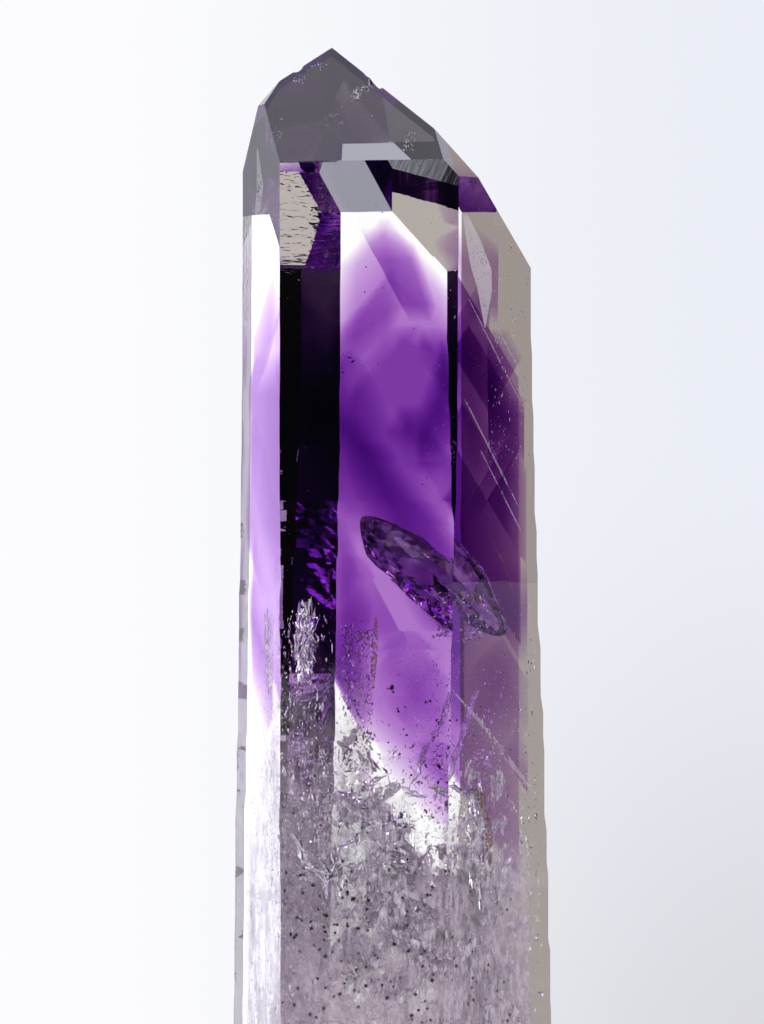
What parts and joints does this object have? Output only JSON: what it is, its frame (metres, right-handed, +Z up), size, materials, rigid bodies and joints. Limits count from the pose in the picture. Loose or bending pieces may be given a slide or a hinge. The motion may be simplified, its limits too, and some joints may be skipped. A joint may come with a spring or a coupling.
{
  "type": "amethyst with quartz crystal",
  "caption": "Upright clear quartz crystal with a purple amethyst zone inside, a slanting faceted point and a flat cut base to stand on.",
  "frame": {"origin": "centre of the bounding box's base, on the flat cut", "axes": "+Z up along the crystal's length, -Y towards the viewer, with the broad front prism face turned 12.7 degrees to the viewer's left"},
  "size_m": [0.0256, 0.0264, 0.09],
  "materials": {
    "clear_quartz": "glassy natural crystal faces with fine growth ledges"
  },
  "bodies": {
    "root": {"quartz_crystal": "clear_quartz"}
  },
  "joints": []
}
